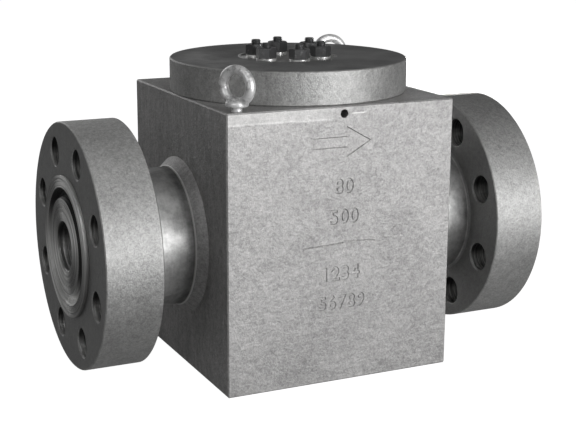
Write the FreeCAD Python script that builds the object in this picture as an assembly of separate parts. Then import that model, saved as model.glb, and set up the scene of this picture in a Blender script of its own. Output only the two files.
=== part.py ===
import FreeCAD, Part
import math
import os

V = FreeCAD.Vector

# High pressure swing non-return valve with a pressure-sealed bonnet, in millimetres.
# +X is the direction of flow and +Z is up. The origin is the centre of the block's underside.

# Forged block
BLOCK_LENGTH = 290.0
BLOCK_DEPTH = 300.0
BLOCK_EDGE = 1.5
FLOW_HEIGHT = 160.0
BOSS_DIAMETER = 190.0
BOSS_TIP_DIAMETER = 169.0
BOSS_LENGTH = 12.0
VENT_DIAMETER = 10.0
VENT_BELOW_TOP = 8.8

# Flanged ends
FACE_TO_FACE = 578.0
PORT_DIAMETER = 58.4
PORT_CHAMFER = 1.5
FLANGE_DIAMETER = 293.0
FLANGE_THICKNESS = 67.0
FLANGE_EDGE = 1.2
HUB_DIAMETER = 167.0
HUB_FILLET = 3.0
RAISED_DIAMETER = 168.0
RAISED_HEIGHT = 4.3
RING_PITCH = 127.0
RING_WIDTH = 11.9
RING_DEPTH = 7.9
RING_WALL_ANGLE = 23.0
BOLT_CIRCLE = 228.6
BOLT_COUNT = 8
BOLT_HOLE = 35.0
BOLT_HOLE_CHAMFER = 1.3

# Valve chamber and bonnet bore
SEAL_BORE = 166.0
LEDGE_WIDTH = 5.0
LEDGE_CLEARANCE = 2.0
CHAMBER_BELOW_AXIS = 60.0
CHAMBER_FLOOR_CHAMFER = 12.0
GROOVE_DEPTH = 17.0
GROOVE_BELOW_TOP = 20.0

# Pressure-sealed bonnet and the rings that hold it
SEGMENT_COUNT = 4
SEGMENT_HEIGHT = 18.0
SEGMENT_REACH = 14.0
SEGMENT_SAW_CUT = 3.0
SPACER_HEIGHT = 6.0
SPACER_WIDTH = 18.0
GASKET_HEIGHT = 14.0
GASKET_FOOT_WIDTH = 4.6
GASKET_WALL_ANGLE = 30.0
BONNET_ABOVE_BRACKET = 9.0
BONNET_PLATE = 22.0
BONNET_HUB_BELOW_TOP = 12.0
BONNET_HUB_FILLET = 5.0

# Cover plate with its spigot, studs and nuts
COVER_DIAMETER = 290.0
COVER_THICKNESS = 40.0
COVER_EDGE = 1.5
COVER_RECESS_DIAMETER = 120.0
COVER_RECESS_DEPTH = 2.0
SPIGOT_LENGTH = 30.0
SPIGOT_WALL = 9.0
SPIGOT_CLEARANCE = 1.0
HUB_CLEARANCE = 3.0
STUD_COUNT = 6
STUD_DIAMETER = 12.0
STUD_CIRCLE = 80.6
STUD_PHASE = 24.0
STUD_IN_BONNET = 24.0
STUD_ABOVE_NUT = 5.6
STUD_CHAMFER = 1.2
STUD_HOLE_CLEARANCE = 1.0
STUD_WASHER_DIAMETER = 24.5
STUD_WASHER_THICKNESS = 3.0
STUD_NUT_FLATS = 22.0
STUD_NUT_HEIGHT = 12.5
# Each nut stops where it is tight: the turn of its first flat, going round from the first stud.
STUD_NUT_TURNS = (-107.0, -132.0, -103.0, -128.0, -110.0, -115.0)

# Lifting eye bolts
EYE_INSET_X = 18.0
EYE_INSET_Y = 13.0
EYE_RING_RADIUS = 19.75
EYE_WIRE_RADIUS = 5.75
EYE_RING_HEIGHT = 24.5
EYE_COLLAR_DIAMETER = 26.0
EYE_COLLAR_HEIGHT = 6.0
EYE_COLLAR_EDGE = 1.0
EYE_SHANK_DIAMETER = 12.0
EYE_SHANK_LENGTH = 22.0
EYE_HOLE_DEPTH = 26.0
EYE_FRONT_LIFT = 5.5
EYE_FRONT_TURN = -65.0
EYE_REAR_TURN = -3.0

# Seat ring and disc
SEAT_DIAMETER = 92.0
SEAT_STAND_OFF = 28.0
SEAT_LET_IN = 14.0
SEAT_FACE_INNER = 62.0
SEAT_FACE_OUTER = 74.0
SEAT_FACE_RISE = 1.0
DISC_DIAMETER = 86.0
DISC_THICKNESS = 13.0
DISC_BACK_RISE = 3.7
DISC_BACK_DIAMETER = 60.0
DISC_SHOULDER = 40.0
STEM_DIAMETER = 16.0
STEM_PAST_NUT = 7.4
STEM_CHAMFER = 1.5
DISC_WASHER_DIAMETER = 32.0
DISC_WASHER_THICKNESS = 3.0
DISC_NUT_FLATS = 24.0
DISC_NUT_HEIGHT = 13.0

# Swing arm, hinge pin and the bracket that carries them
OPEN_ANGLE = 60.0
PIN_ABOVE_AXIS = 62.0
PIN_BEHIND_SEAT = 6.0
PIN_DIAMETER = 16.0
PIN_HEAD_DIAMETER = 22.0
PIN_HEAD_HEIGHT = 4.0
PIN_PAST_EAR = 9.0
ARM_THICKNESS = 14.0
ARM_WIDTH = 22.0
ARM_EYE_DIAMETER = 44.0
ARM_HUB_DIAMETER = 26.0
ARM_NECK_DROP = 17.0
ARM_HUB_WIDTH = 24.0
HEEL_HALF_THICKNESS = 6.0
HEEL_STOP_GAP = 0.5
BRACKET_WIDTH = 84.0
BRACKET_THICKNESS = 14.0
BRACKET_LET_IN = 2.0
BRACKET_ABOVE_PIN = 19.0
EAR_THICKNESS = 10.0
EAR_SIDE_GAP = 0.5
SCREW_DIAMETER = 10.0
SCREW_LENGTH = 36.0
SCREW_HOLE_DEPTH = 28.0
SCREW_HEAD_DIAMETER = 16.0
SCREW_HEAD_HEIGHT = 10.0
SCREW_SOCKET_FLATS = 8.0
SCREW_SOCKET_DEPTH = 5.0
SCREW_EDGE_DISTANCE = 10.0
SPLIT_PIN_DIAMETER = 3.2
SPLIT_PIN_OVERHANG = 5.0
SPLIT_PIN_EYE = 3.2

# Clearances: between still curved faces, on a running fit, and at a pocket's sides
GAP = 0.3
RUNNING_GAP = 0.06
POCKET_GAP = 0.5

X_AXIS = V(1, 0, 0)
Y_AXIS = V(0, 1, 0)
Z_AXIS = V(0, 0, 1)

# Places worked out from the sizes above
half_length = BLOCK_LENGTH / 2
half_depth = BLOCK_DEPTH / 2
face_x = FACE_TO_FACE / 2
joint_x = half_length + BOSS_LENGTH

pin_z = FLOW_HEIGHT + PIN_ABOVE_AXIS
bracket_top = pin_z + BRACKET_ABOVE_PIN
bonnet_bottom = bracket_top + BONNET_ABOVE_BRACKET
gasket_bottom = bonnet_bottom + BONNET_PLATE
spacer_bottom = gasket_bottom + GASKET_HEIGHT
segment_bottom = spacer_bottom + SPACER_HEIGHT
segment_top = segment_bottom + SEGMENT_HEIGHT
block_top = segment_top + GROOVE_BELOW_TOP
ledge_z = bonnet_bottom - LEDGE_CLEARANCE
bonnet_hub_top = block_top - BONNET_HUB_BELOW_TOP

seal_r = SEAL_BORE / 2
chamber_r = seal_r - LEDGE_WIDTH
groove_r = seal_r + GROOVE_DEPTH
segment_inner_r = seal_r - SEGMENT_REACH
spigot_r = segment_inner_r - SPIGOT_CLEARANCE
bonnet_hub_r = spigot_r - SPIGOT_WALL - HUB_CLEARANCE
cover_top = block_top + COVER_THICKNESS
recess_floor = cover_top - COVER_RECESS_DEPTH
nut_bottom = recess_floor + STUD_WASHER_THICKNESS
stud_top = nut_bottom + STUD_NUT_HEIGHT + STUD_ABOVE_NUT

seat_face_x = -(chamber_r - SEAT_STAND_OFF)
seat_back_x = -(chamber_r + SEAT_LET_IN)
disc_face_x = seat_face_x + GAP
shoulder_x = disc_face_x + DISC_THICKNESS + DISC_BACK_RISE
arm_x = shoulder_x + GAP
washer_x = arm_x + ARM_THICKNESS + GAP
disc_nut_x = washer_x + DISC_WASHER_THICKNESS
disc_nut_end_x = disc_nut_x + DISC_NUT_HEIGHT
stem_end_x = disc_nut_end_x + STEM_PAST_NUT
flow_centre = V(0, 0, FLOW_HEIGHT)

pin_x = seat_face_x + PIN_BEHIND_SEAT
arm_hub_r = ARM_HUB_DIAMETER / 2
ear_inner_y = ARM_HUB_WIDTH / 2 + EAR_SIDE_GAP
ear_outer_y = ear_inner_y + EAR_THICKNESS
pocket_x = -(chamber_r + BRACKET_LET_IN)
bracket_face_x = pocket_x + BRACKET_THICKNESS
bracket_bottom = pin_z - arm_hub_r
screw_y = BRACKET_WIDTH / 2 - SCREW_EDGE_DISTANCE
screw_z = (bracket_bottom + bracket_top) / 2


def cylinder(diameter, start, end):
    """Round bar between two points."""
    return Part.makeCylinder(diameter / 2, start.distanceToPoint(end), start, end - start)


def box(low, high):
    """Square block between two opposite corners."""
    size = high - low
    return Part.makeBox(size.x, size.y, size.z, low)


def turned(profile, origin, axis):
    """Body of revolution from (radius, distance along the axis) pairs, for an axis along X or Z."""
    outward = Z_AXIS if axis.x else X_AXIS
    points = [origin + outward * radius + axis * along for radius, along in profile]
    face = Part.Face(Part.makePolygon(points + points[:1]))
    return face.revolve(origin, axis, 360)


def ring(outer, inner, bottom, top):
    """Flat ring about the vertical axis."""
    return turned([(inner, bottom), (outer, bottom), (outer, top), (inner, top)], V(), Z_AXIS)


def hexagon(flats, start, height, axis, turn):
    """Hexagonal prism whose first flat faces the given turn about its axis."""
    corner = flats / math.sqrt(3)
    outward = Z_AXIS if axis.x else X_AXIS
    spin = FreeCAD.Rotation(axis, turn + 30)
    first = spin.multVec(outward * corner)
    points = [start + FreeCAD.Rotation(axis, 60 * k).multVec(first) for k in range(6)]
    return Part.Face(Part.makePolygon(points + points[:1])).extrude(axis * height)


def hex_nut(flats, height, bore, start, axis, turn):
    """Nut with both faces turned down to a circle as wide as its flats, and a plain hole."""
    across_corners = 2 * flats / math.sqrt(3)
    bevel = (across_corners - flats) / 2 * math.tan(math.radians(30))
    flat_r = flats / 2
    corner_r = across_corners / 2
    barrel = turned(
        [(bore / 2, 0), (flat_r, 0), (corner_r, bevel), (corner_r, height - bevel),
         (flat_r, height), (bore / 2, height)], start, axis)
    return hexagon(flats, start, height, axis, turn).common(barrel)


def on_circle(diameter, count, phase, height):
    """Points evenly spaced on a horizontal circle about the vertical axis."""
    radius = diameter / 2
    angles = [math.radians(phase + 360.0 * k / count) for k in range(count)]
    return [V(radius * math.cos(a), radius * math.sin(a), height) for a in angles]


def mirrored(shape):
    """The same piece on the other side of the block's middle plane."""
    return shape.mirror(V(), X_AXIS)


def stud_places(height):
    return on_circle(STUD_CIRCLE, STUD_COUNT, STUD_PHASE, height)


def eye_places():
    """Front left and rear right corners of the block's top face."""
    x = half_length - EYE_INSET_X
    y = half_depth - EYE_INSET_Y
    return V(-x, -y, block_top), V(x, y, block_top)


def body_block():
    """Forged block with two end bosses, flow port, valve chamber and stepped bonnet bore."""
    block = box(V(-half_length, -half_depth, 0), V(half_length, half_depth, block_top))
    block = block.makeChamfer(BLOCK_EDGE, block.Edges)
    boss = turned(
        [(0, half_length - BLOCK_EDGE), (BOSS_DIAMETER / 2, half_length - BLOCK_EDGE),
         (BOSS_DIAMETER / 2, half_length), (BOSS_TIP_DIAMETER / 2, joint_x), (0, joint_x)],
        flow_centre, X_AXIS)
    block = block.fuse([boss, mirrored(boss)]).removeSplitter()

    port = cylinder(PORT_DIAMETER, V(-joint_x, 0, FLOW_HEIGHT), V(joint_x, 0, FLOW_HEIGHT))
    floor_z = FLOW_HEIGHT - CHAMBER_BELOW_AXIS
    chamber = turned(
        [(0, floor_z), (chamber_r - CHAMBER_FLOOR_CHAMFER, floor_z),
         (chamber_r, floor_z + CHAMBER_FLOOR_CHAMFER), (chamber_r, ledge_z), (seal_r, ledge_z),
         (seal_r, segment_bottom), (groove_r, segment_bottom), (groove_r, segment_top),
         (seal_r, segment_top), (seal_r, block_top), (0, block_top)], V(), Z_AXIS)
    seat_bore = cylinder(SEAT_DIAMETER + 2 * GAP, V(seat_back_x, 0, FLOW_HEIGHT), flow_centre)
    pocket = box(V(pocket_x, -BRACKET_WIDTH / 2 - POCKET_GAP, bracket_bottom - POCKET_GAP),
                 V(0, BRACKET_WIDTH / 2 + POCKET_GAP, bracket_top + POCKET_GAP))
    vent_z = block_top - VENT_BELOW_TOP
    vent = cylinder(VENT_DIAMETER, V(0, -half_depth, vent_z), V(0, 0, vent_z))
    screw_holes = [cylinder(SCREW_DIAMETER + 2 * GAP, V(pocket_x - SCREW_HOLE_DEPTH, y, screw_z),
                            V(pocket_x, y, screw_z)) for y in (-screw_y, screw_y)]
    eye_holes = [cylinder(EYE_SHANK_DIAMETER + 2 * GAP, place - Z_AXIS * EYE_HOLE_DEPTH, place)
                 for place in eye_places()]
    return block.cut([port, chamber, seat_bore, pocket, vent] + screw_holes + eye_holes)


def outlet_flange():
    """Welded end: hub, flange, raised face with its ring joint groove, and the bolt holes."""
    base_x = face_x - RAISED_HEIGHT
    back_x = base_x - FLANGE_THICKNESS
    outer_r = FLANGE_DIAMETER / 2
    raised_r = RAISED_DIAMETER / 2
    hub_r = HUB_DIAMETER / 2
    port_r = PORT_DIAMETER / 2
    pitch_r = RING_PITCH / 2
    mouth = RING_WIDTH / 2
    root = mouth - RING_DEPTH * math.tan(math.radians(RING_WALL_ANGLE))
    profile = [
        (port_r, joint_x), (hub_r, joint_x), (hub_r, back_x - HUB_FILLET), (hub_r + HUB_FILLET, back_x),
        (outer_r - FLANGE_EDGE, back_x), (outer_r, back_x + FLANGE_EDGE),
        (outer_r, base_x - FLANGE_EDGE), (outer_r - FLANGE_EDGE, base_x),
        (raised_r, base_x), (raised_r, face_x), (pitch_r + mouth, face_x),
        (pitch_r + root, face_x - RING_DEPTH), (pitch_r - root, face_x - RING_DEPTH),
        (pitch_r - mouth, face_x), (port_r + PORT_CHAMFER, face_x), (port_r, face_x - PORT_CHAMFER)]
    flange = turned(profile, flow_centre, X_AXIS)
    hole_r = BOLT_HOLE / 2
    wide_r = hole_r + BOLT_HOLE_CHAMFER
    holes = []
    for k in range(BOLT_COUNT):
        angle = math.radians(360.0 * (k + 0.5) / BOLT_COUNT)
        centre = V(0, BOLT_CIRCLE / 2 * math.cos(angle), FLOW_HEIGHT + BOLT_CIRCLE / 2 * math.sin(angle))
        holes.append(turned(
            [(0, back_x), (wide_r, back_x), (hole_r, back_x + BOLT_HOLE_CHAMFER),
             (hole_r, base_x - BOLT_HOLE_CHAMFER), (wide_r, base_x), (0, base_x)], centre, X_AXIS))
    return flange.cut(holes)


def seat_ring():
    """Ring let into the chamber wall round the inlet port, with a narrow raised seating face."""
    port_r = PORT_DIAMETER / 2
    outer_r = SEAT_DIAMETER / 2
    land_x = seat_face_x - SEAT_FACE_RISE
    profile = [
        (port_r, seat_back_x), (outer_r, seat_back_x), (outer_r, land_x), (SEAT_FACE_OUTER / 2, land_x),
        (SEAT_FACE_OUTER / 2, seat_face_x), (SEAT_FACE_INNER / 2, seat_face_x), (port_r, land_x)]
    return turned(profile, flow_centre, X_AXIS)


def disc():
    """Valve disc with its seating band, raised back and stem."""
    rim_x = disc_face_x + DISC_THICKNESS
    inner_x = disc_face_x + SEAT_FACE_RISE
    stem_r = STEM_DIAMETER / 2
    profile = [
        (0, inner_x), (SEAT_FACE_INNER / 2 - SEAT_FACE_RISE, inner_x), (SEAT_FACE_INNER / 2, disc_face_x),
        (SEAT_FACE_OUTER / 2, disc_face_x), (DISC_DIAMETER / 2, inner_x), (DISC_DIAMETER / 2, rim_x),
        (DISC_BACK_DIAMETER / 2, rim_x), (DISC_SHOULDER / 2, shoulder_x), (stem_r, shoulder_x),
        (stem_r, stem_end_x - STEM_CHAMFER), (stem_r - STEM_CHAMFER, stem_end_x), (0, stem_end_x)]
    cross_x = (disc_nut_end_x + stem_end_x) / 2
    cross_hole = cylinder(SPLIT_PIN_DIAMETER + 2 * GAP, V(cross_x, 0, FLOW_HEIGHT - STEM_DIAMETER),
                          V(cross_x, 0, FLOW_HEIGHT + STEM_DIAMETER))
    return turned(profile, flow_centre, X_AXIS).cut(cross_hole)


def disc_washer():
    outer_r = DISC_WASHER_DIAMETER / 2
    inner_r = STEM_DIAMETER / 2 + GAP
    return turned([(inner_r, washer_x), (outer_r, washer_x), (outer_r, disc_nut_x), (inner_r, disc_nut_x)],
                  flow_centre, X_AXIS)


def disc_nut():
    start = V(disc_nut_x, 0, FLOW_HEIGHT)
    return hex_nut(DISC_NUT_FLATS, DISC_NUT_HEIGHT, STEM_DIAMETER + 2 * GAP, start, X_AXIS, 0)


def split_pin(centre, through):
    """Vertical split pin through a shaft of the given size, with its round eye on top."""
    reach = through / 2 + SPLIT_PIN_OVERHANG
    legs = cylinder(SPLIT_PIN_DIAMETER, centre - Z_AXIS * reach, centre + Z_AXIS * reach)
    wire_r = SPLIT_PIN_DIAMETER / 3
    eye_centre = centre + Z_AXIS * (reach + SPLIT_PIN_EYE)
    eye = Part.makeTorus(SPLIT_PIN_EYE, wire_r, eye_centre, Y_AXIS)
    return legs.fuse(eye)


def stem_split_pin():
    return split_pin(V((disc_nut_end_x + stem_end_x) / 2, 0, FLOW_HEIGHT), STEM_DIAMETER)


def swing_arm():
    """Arm with its pin hub, disc eye and the heel that meets the bracket when fully open."""
    half_width = ARM_WIDTH / 2
    back_x = arm_x + ARM_THICKNESS
    hub = cylinder(ARM_HUB_DIAMETER, V(pin_x, -ARM_HUB_WIDTH / 2, pin_z), V(pin_x, ARM_HUB_WIDTH / 2, pin_z))
    eye = cylinder(ARM_EYE_DIAMETER, V(arm_x, 0, FLOW_HEIGHT), V(back_x, 0, FLOW_HEIGHT))
    side = [V(arm_x, -half_width, FLOW_HEIGHT), V(arm_x, -half_width, pin_z - ARM_NECK_DROP),
            V(pin_x, -half_width, pin_z - arm_hub_r / 2), V(pin_x, -half_width, pin_z + arm_hub_r / 2),
            V(back_x, -half_width, pin_z - arm_hub_r), V(back_x, -half_width, FLOW_HEIGHT)]
    web = Part.Face(Part.makePolygon(side + side[:1])).extrude(Y_AXIS * ARM_WIDTH)
    to_bracket = pin_x - bracket_face_x
    opened = math.radians(OPEN_ANGLE)
    swing_left = to_bracket - HEEL_STOP_GAP - HEEL_HALF_THICKNESS * math.cos(opened)
    heel_height = swing_left / math.sin(opened)
    heel = box(V(pin_x - HEEL_HALF_THICKNESS, -half_width, pin_z),
               V(pin_x + HEEL_HALF_THICKNESS, half_width, pin_z + heel_height))
    arm = hub.fuse([eye, web, heel]).removeSplitter()
    pin_hole = cylinder(PIN_DIAMETER + 2 * RUNNING_GAP, V(pin_x, -ARM_HUB_WIDTH, pin_z),
                        V(pin_x, ARM_HUB_WIDTH, pin_z))
    stem_hole = cylinder(STEM_DIAMETER + 2 * RUNNING_GAP, V(arm_x, 0, FLOW_HEIGHT),
                         V(back_x, 0, FLOW_HEIGHT))
    return arm.cut([pin_hole, stem_hole])


def hinge_bracket():
    """Plate screwed to a flat in the chamber wall, with two ears for the hinge pin."""
    plate = box(V(pocket_x, -BRACKET_WIDTH / 2, bracket_bottom),
                V(bracket_face_x, BRACKET_WIDTH / 2, bracket_top))
    ears = []
    for low_y in (-ear_outer_y, ear_inner_y):
        high_y = low_y + EAR_THICKNESS
        ears.append(box(V(bracket_face_x, low_y, pin_z - arm_hub_r), V(pin_x, high_y, pin_z + arm_hub_r)))
        ears.append(cylinder(ARM_HUB_DIAMETER, V(pin_x, low_y, pin_z), V(pin_x, high_y, pin_z)))
    bracket = plate.fuse(ears).removeSplitter()
    pin_hole = cylinder(PIN_DIAMETER + 2 * RUNNING_GAP, V(pin_x, -ear_outer_y, pin_z),
                        V(pin_x, ear_outer_y, pin_z))
    screw_holes = [cylinder(SCREW_DIAMETER + 2 * GAP, V(pocket_x, y, screw_z), V(bracket_face_x, y, screw_z))
                   for y in (-screw_y, screw_y)]
    return bracket.cut([pin_hole] + screw_holes)


def bracket_screws():
    """Socket head screws that hold the bracket."""
    screws = []
    for y in (-screw_y, screw_y):
        head_base = V(bracket_face_x, y, screw_z)
        head_top = head_base + X_AXIS * SCREW_HEAD_HEIGHT
        shank = cylinder(SCREW_DIAMETER, head_base - X_AXIS * SCREW_LENGTH, head_base)
        head = cylinder(SCREW_HEAD_DIAMETER, head_base, head_top)
        socket = hexagon(SCREW_SOCKET_FLATS, head_top - X_AXIS * SCREW_SOCKET_DEPTH,
                         SCREW_SOCKET_DEPTH, X_AXIS, 0)
        screws.append(head.fuse(shank).cut(socket))
    return Part.makeCompound(screws)


def hinge_pin():
    """Headed pin through both ears and the arm, drilled for its split pin."""
    head_y = -ear_outer_y - GAP
    end_y = ear_outer_y + PIN_PAST_EAR
    shank = cylinder(PIN_DIAMETER, V(pin_x, head_y, pin_z), V(pin_x, end_y, pin_z))
    head = cylinder(PIN_HEAD_DIAMETER, V(pin_x, head_y - PIN_HEAD_HEIGHT, pin_z), V(pin_x, head_y, pin_z))
    cross_y = (ear_outer_y + end_y) / 2
    cross_hole = cylinder(SPLIT_PIN_DIAMETER + 2 * GAP, V(pin_x, cross_y, pin_z - PIN_DIAMETER),
                          V(pin_x, cross_y, pin_z + PIN_DIAMETER))
    return shank.fuse(head).cut(cross_hole)


def hinge_split_pin():
    end_y = ear_outer_y + PIN_PAST_EAR
    return split_pin(V(pin_x, (ear_outer_y + end_y) / 2, pin_z), PIN_DIAMETER)


def gasket_taper():
    """How far the gasket's inner wall leans in over its height."""
    return GASKET_HEIGHT * math.tan(math.radians(GASKET_WALL_ANGLE))


def bonnet():
    """Plug that the line pressure lifts against its gasket, with a hub for the studs."""
    plate_r = seal_r - GAP
    foot_r = seal_r - GASKET_FOOT_WIDTH - GAP
    crown_r = foot_r - gasket_taper()
    plug = turned(
        [(0, bonnet_bottom), (plate_r, bonnet_bottom), (plate_r, gasket_bottom), (foot_r, gasket_bottom),
         (crown_r, spacer_bottom), (bonnet_hub_r + BONNET_HUB_FILLET, spacer_bottom),
         (bonnet_hub_r, spacer_bottom + BONNET_HUB_FILLET), (bonnet_hub_r, bonnet_hub_top),
         (0, bonnet_hub_top)], V(), Z_AXIS)
    holes = [cylinder(STUD_DIAMETER + 2 * GAP, place - Z_AXIS * STUD_IN_BONNET, place)
             for place in stud_places(bonnet_hub_top)]
    return plug.cut(holes)


def seal_gasket():
    """Wedge ring pressed between the bonnet's cone and the bore."""
    outer_r = seal_r - GAP
    foot_r = seal_r - GASKET_FOOT_WIDTH
    return turned([(foot_r, gasket_bottom), (outer_r, gasket_bottom), (outer_r, spacer_bottom),
                   (foot_r - gasket_taper(), spacer_bottom)], V(), Z_AXIS)


def spacer_ring():
    outer_r = seal_r - GAP
    return ring(outer_r, outer_r - SPACER_WIDTH, spacer_bottom, segment_bottom)


def thrust_segment(index):
    """One part of the ring that takes the bonnet's thrust, let into the groove of the bore."""
    whole = ring(groove_r - GAP, segment_inner_r, segment_bottom, segment_top - GAP)
    share = 360.0 / SEGMENT_COUNT
    sector = Part.makeCylinder(2 * groove_r, SEGMENT_HEIGHT, V(0, 0, segment_bottom), Z_AXIS, share)
    middle = math.radians(share / 2)
    away = SEGMENT_SAW_CUT / 2 / math.sin(middle)
    sector.translate(V(away * math.cos(middle), away * math.sin(middle), 0))
    sector.rotate(V(), Z_AXIS, share * index + share / 2)
    return whole.common(sector)


def cover_plate():
    """Round retaining plate on the block, with a spigot that keeps the segments in their groove."""
    outer_r = COVER_DIAMETER / 2
    recess_r = COVER_RECESS_DIAMETER / 2
    spigot_bottom = block_top - SPIGOT_LENGTH
    inner_r = spigot_r - SPIGOT_WALL
    plate = turned(
        [(0, block_top), (inner_r, block_top), (inner_r, spigot_bottom), (spigot_r, spigot_bottom),
         (spigot_r, block_top), (outer_r - COVER_EDGE, block_top), (outer_r, block_top + COVER_EDGE),
         (outer_r, cover_top - COVER_EDGE), (outer_r - COVER_EDGE, cover_top), (recess_r, cover_top),
         (recess_r, recess_floor), (0, recess_floor)], V(), Z_AXIS)
    hole = STUD_DIAMETER + 2 * STUD_HOLE_CLEARANCE
    holes = [cylinder(hole, place, place + Z_AXIS * COVER_THICKNESS) for place in stud_places(block_top)]
    return plate.cut(holes)


def bonnet_studs():
    """Studs from the bonnet's hub up through the cover plate."""
    bottom = bonnet_hub_top - STUD_IN_BONNET + GAP
    radius = STUD_DIAMETER / 2
    tip_r = radius - STUD_CHAMFER
    profile = [(0, bottom), (tip_r, bottom), (radius, bottom + STUD_CHAMFER),
               (radius, stud_top - STUD_CHAMFER), (tip_r, stud_top), (0, stud_top)]
    return Part.makeCompound([turned(profile, place, Z_AXIS) for place in stud_places(0)])


def stud_washers():
    outer_r = STUD_WASHER_DIAMETER / 2
    inner_r = STUD_DIAMETER / 2 + GAP
    profile = [(inner_r, 0), (outer_r, 0), (outer_r, STUD_WASHER_THICKNESS), (inner_r, STUD_WASHER_THICKNESS)]
    return Part.makeCompound([turned(profile, place, Z_AXIS) for place in stud_places(recess_floor)])


def stud_nuts():
    bore = STUD_DIAMETER + 2 * GAP
    return Part.makeCompound([
        hex_nut(STUD_NUT_FLATS, STUD_NUT_HEIGHT, bore, place, Z_AXIS, STUD_NUT_TURNS[k % len(STUD_NUT_TURNS)])
        for k, place in enumerate(stud_places(nut_bottom))])


def eye_bolt(place, lift, turn):
    """Lifting eye on a collar and shank, screwed down to the given height above the block."""
    ring_centre = V(0, 0, EYE_RING_HEIGHT)
    eye = Part.makeTorus(EYE_RING_RADIUS, EYE_WIRE_RADIUS, ring_centre, Y_AXIS)
    collar_r = EYE_COLLAR_DIAMETER / 2
    neck_top = EYE_RING_HEIGHT - EYE_RING_RADIUS + EYE_WIRE_RADIUS
    collar = turned(
        [(0, 0), (collar_r - EYE_COLLAR_EDGE, 0), (collar_r, EYE_COLLAR_EDGE),
         (collar_r, EYE_COLLAR_HEIGHT - EYE_COLLAR_EDGE), (collar_r - EYE_COLLAR_EDGE, EYE_COLLAR_HEIGHT),
         (EYE_WIRE_RADIUS, neck_top), (0, neck_top)], V(), Z_AXIS)
    hole_r = EYE_RING_RADIUS - EYE_WIRE_RADIUS
    inside = cylinder(2 * hole_r, ring_centre - Y_AXIS * collar_r, ring_centre + Y_AXIS * collar_r)
    below = box(V(-collar_r, -collar_r, -collar_r), V(collar_r, collar_r, 0))
    shank = cylinder(EYE_SHANK_DIAMETER, V(0, 0, -EYE_SHANK_LENGTH), V())
    bolt = eye.cut(below).fuse(collar.cut(inside)).fuse(shank).removeSplitter()
    bolt.rotate(V(), Z_AXIS, turn)
    bolt.translate(place + Z_AXIS * lift)
    return bolt


def eye_bolt_front():
    return eye_bolt(eye_places()[0], EYE_FRONT_LIFT, EYE_FRONT_TURN)


def eye_bolt_rear():
    return eye_bolt(eye_places()[1], 0, EYE_REAR_TURN)


def build():
    """Every piece under its node's name."""
    outlet = outlet_flange()
    nodes = {
        "body_block": body_block(),
        "outlet_flange": outlet,
        "inlet_flange": mirrored(outlet),
        "seat_ring": seat_ring(),
        "disc": disc(),
        "disc_washer": disc_washer(),
        "disc_nut": disc_nut(),
        "stem_split_pin": stem_split_pin(),
        "swing_arm": swing_arm(),
        "hinge_bracket": hinge_bracket(),
        "bracket_screws": bracket_screws(),
        "hinge_pin": hinge_pin(),
        "hinge_split_pin": hinge_split_pin(),
        "bonnet": bonnet(),
        "seal_gasket": seal_gasket(),
        "spacer_ring": spacer_ring(),
        "cover_plate": cover_plate(),
        "bonnet_studs": bonnet_studs(),
        "stud_washers": stud_washers(),
        "stud_nuts": stud_nuts(),
        "eye_bolt_front": eye_bolt_front(),
        "eye_bolt_rear": eye_bolt_rear(),
    }
    for index in range(SEGMENT_COUNT):
        nodes["thrust_segment_%d" % (index + 1)] = thrust_segment(index)
    return nodes


os.makedirs("parts", exist_ok=True)
for name, shape in build().items():
    shape.exportStep("parts/%s.step" % name)
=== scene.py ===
import math

import bmesh
import bpy
import numpy as np
from mathutils import Matrix, Vector


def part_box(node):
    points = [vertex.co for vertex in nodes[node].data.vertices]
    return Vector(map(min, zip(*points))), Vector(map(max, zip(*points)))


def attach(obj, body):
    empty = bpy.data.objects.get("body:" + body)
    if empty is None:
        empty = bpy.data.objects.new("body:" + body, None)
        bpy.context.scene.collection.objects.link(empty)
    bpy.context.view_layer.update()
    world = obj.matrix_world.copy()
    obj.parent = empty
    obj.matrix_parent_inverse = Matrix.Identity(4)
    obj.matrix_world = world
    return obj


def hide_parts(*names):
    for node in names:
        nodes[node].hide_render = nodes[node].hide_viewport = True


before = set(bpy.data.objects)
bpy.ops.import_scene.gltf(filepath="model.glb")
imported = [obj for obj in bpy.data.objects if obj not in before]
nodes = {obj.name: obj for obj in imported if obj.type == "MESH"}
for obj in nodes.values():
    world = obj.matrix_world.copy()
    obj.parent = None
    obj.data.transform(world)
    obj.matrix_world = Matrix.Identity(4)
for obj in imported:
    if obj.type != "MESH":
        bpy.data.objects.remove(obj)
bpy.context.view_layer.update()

# Places on the valve that finishes, marks and threads refer to, in metres
FLOW_Z = 0.160
# The block's half length, half depth and height
BLOCK = (0.145, 0.150, 0.330)
# From the middle along the flow: the boss's end, then the flange's back, its front and its raised face
BOSS_FACE, FLANGE_BACK, FLANGE_BASE, FLANGE_FACE = 0.157, 0.2177, 0.2847, 0.289
# Radii about the flow axis
FLANGE_R, HUB_R, GROOVE_R, PORT_R, BOLT_CIRCLE_R = 0.1465, 0.0835, 0.0635, 0.0292, 0.1143
BOLT_HOLES = 8
# Radii about the upright axis, and heights
SEAL_R, COVER_R, RECESS_R, STUD_CIRCLE_R = 0.083, 0.145, 0.060, 0.0403
CHAMBER_FLOOR, COVER_MIDDLE, RECESS_FLOOR, COVER_TOP = 0.100, 0.350, 0.368, 0.370
# Studs, and the first one's turn in degrees
STUD_COUNT, STUD_PHASE = 6, 24.0
STUD_R, STUD_CHAMFER, THREAD_PITCH = 0.006, 0.0012, 0.00175

# The camera as fitted to the photograph: place in metres, turns in radians and focal length in millimetres
CAMERA_PLACE = (-0.690985, -1.454704, 0.566857)
CAMERA_YAW, CAMERA_PITCH, CAMERA_ROLL = 0.444, -0.243, 0.005
CAMERA_LENS = 82.13


# Shader building

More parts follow.
